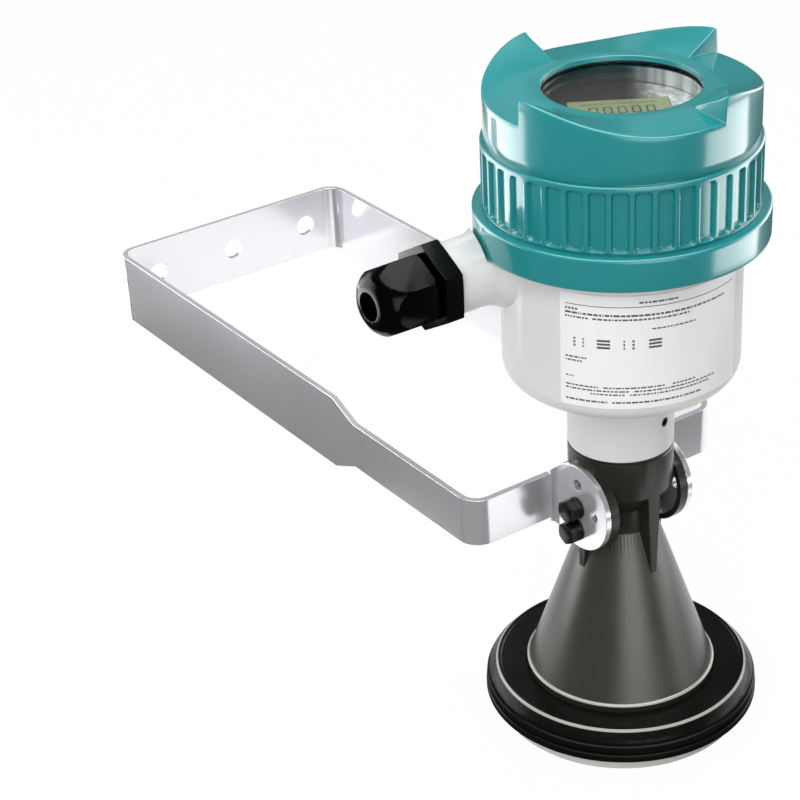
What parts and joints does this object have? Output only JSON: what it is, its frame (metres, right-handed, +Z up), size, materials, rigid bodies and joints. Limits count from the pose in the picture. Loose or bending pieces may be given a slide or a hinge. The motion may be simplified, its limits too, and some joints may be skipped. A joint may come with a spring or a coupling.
{
  "type": "radar level transmitter",
  "caption": "Radar level transmitter with a plastic horn antenna, swivelling head with a windowed screw lid, cable gland and a swinging mounting strap.",
  "frame": {"origin": "centre of the lens face that the antenna stands on", "axes": "+Z up along the antenna axis, -X from the antenna to the strap's wall face, Y along the strap's pivot axis"},
  "size_m": [0.3556, 0.1635, 0.2778],
  "materials": {
    "lens": "fine matt, pale grey-white",
    "seal": "matt",
    "ring": "satin black",
    "horn": "glossy black-brown moulding",
    "steel": "turned",
    "insert": "turned",
    "washer": "black coated",
    "screw": "black coated",
    "strap": "pale sheet, fine brushing",
    "housing": "light grey powder coat, satin",
    "label": "white film",
    "gland": "glossy black",
    "insert_plastic": "matt black",
    "terminal": "matt green",
    "display": "glossy black",
    "lcd": "olive green display",
    "key": "matt grey",
    "lid": "teal powder coat, satin",
    "glass": "clear"
  },
  "bodies": {
    "antenna": {"lens": "lens", "lens_seal": "seal", "base_ring": "ring", "horn": "horn", "antenna_neck": "steel", "neck_seal": "seal", "pivot_inserts": "insert", "pivot_washers": "washer", "pivot_screws": "screw"},
    "strap": {"mounting_strap": "strap", "index_washers": "washer", "index_screws": "screw"},
    "head": {"housing": "housing", "locking_screw": "screw", "type_label": "label", "gland_body": "gland", "gland_seal": "seal", "electronics_insert": "insert_plastic", "terminal_block": "terminal", "display_frame": "display", "display_panel": "lcd", "lid_seal": "seal"},
    "nut": {"gland_nut": "gland"},
    "cover": {"lid": "lid", "window_gasket": "seal", "window_glass": "glass", "window_retainer": "display"},
    "first_key": {"key_1": "key"},
    "second_key": {"key_2": "key"},
    "third_key": {"key_3": "key"},
    "fourth_key": {"key_4": "key"}
  },
  "joints": [
    {"name": "strap_tilt", "type": "hinge", "parent": "antenna", "child": "strap", "pos_m": [0, 0, 0.1002], "axis": [0, 1, 0], "range_deg": [-90, 35]},
    {"name": "housing_swivel", "type": "hinge", "parent": "antenna", "child": "head", "pos_m": [0, 0, 0.124], "axis": [0, 0, 1], "range_deg": [-165, 165]},
    {"name": "gland_nut_turn", "type": "hinge", "parent": "head", "child": "nut", "pos_m": [-0.02, -0.08, 0.2055], "axis": [0, -1, 0], "range_deg": [-180, 180]},
    {"name": "lid_lift", "type": "slide", "parent": "head", "child": "cover", "axis": [0, 0, 1], "range_m": [0, 0.09]},
    {"name": "key_1_press", "type": "slide", "parent": "head", "child": "first_key", "axis": [0, 0, -1], "range_m": [0, 0.0008], "stiffness_N_per_m": 600, "springref_m": -0.0004},
    {"name": "key_2_press", "type": "slide", "parent": "head", "child": "second_key", "axis": [0, 0, -1], "range_m": [0, 0.0008], "stiffness_N_per_m": 600, "springref_m": -0.0004},
    {"name": "key_3_press", "type": "slide", "parent": "head", "child": "third_key", "axis": [0, 0, -1], "range_m": [0, 0.0008], "stiffness_N_per_m": 600, "springref_m": -0.0004},
    {"name": "key_4_press", "type": "slide", "parent": "head", "child": "fourth_key", "axis": [0, 0, -1], "range_m": [0, 0.0008], "stiffness_N_per_m": 600, "springref_m": -0.0004}
  ]
}
